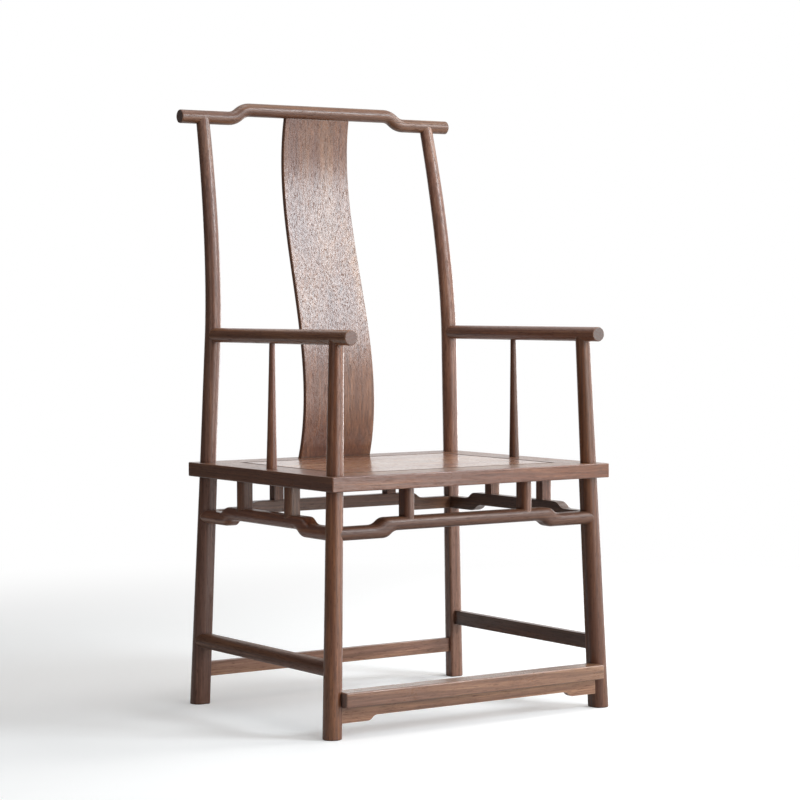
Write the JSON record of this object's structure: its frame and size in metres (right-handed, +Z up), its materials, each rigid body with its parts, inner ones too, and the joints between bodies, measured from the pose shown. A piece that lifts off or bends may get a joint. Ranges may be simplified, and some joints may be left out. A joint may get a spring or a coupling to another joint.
{
  "type": "official hat armchair",
  "caption": "Wooden armchair with a stepped crest rail, curved splat, straight arms that run past their posts, humpback stretchers and a footrest.",
  "frame": {"origin": "on the floor, under the middle of the whole chair's width and depth", "axes": "+Z up, the chair's front faces -Y, +X to the right as seen from the front"},
  "size_m": [0.6172, 0.5458, 1.1221],
  "materials": {
    "walnut_stick": "satin oil, fine grain along each stick",
    "walnut_board": "satin oil, long flat-sawn grain"
  },
  "bodies": {
    "root": {"arm_rail_left": "walnut_stick", "arm_rail_right": "walnut_stick", "arm_strut_left": "walnut_stick", "arm_strut_right": "walnut_stick", "batten_left": "walnut_board", "batten_right": "walnut_board", "crest_rail": "walnut_stick", "foot_stretcher_left": "walnut_stick", "foot_stretcher_rear": "walnut_stick", "foot_stretcher_right": "walnut_stick", "footrest": "walnut_board", "footrest_apron": "walnut_board", "front_post_left": "walnut_stick", "front_post_right": "walnut_stick", "hump_stretcher_front": "walnut_stick", "hump_stretcher_left": "walnut_stick", "hump_stretcher_rear": "walnut_stick", "hump_stretcher_right": "walnut_stick", "rear_post_left": "walnut_stick", "rear_post_right": "walnut_stick", "seat_panel": "walnut_board", "seat_rail_front": "walnut_board", "seat_rail_left": "walnut_board", "seat_rail_rear": "walnut_board", "seat_rail_right": "walnut_board", "splat": "walnut_board", "strut_front_left": "walnut_stick", "strut_front_right": "walnut_stick", "strut_left_front": "walnut_stick", "strut_left_rear": "walnut_stick", "strut_rear_left": "walnut_stick", "strut_rear_right": "walnut_stick", "strut_right_front": "walnut_stick", "strut_right_rear": "walnut_stick"}
  },
  "joints": []
}
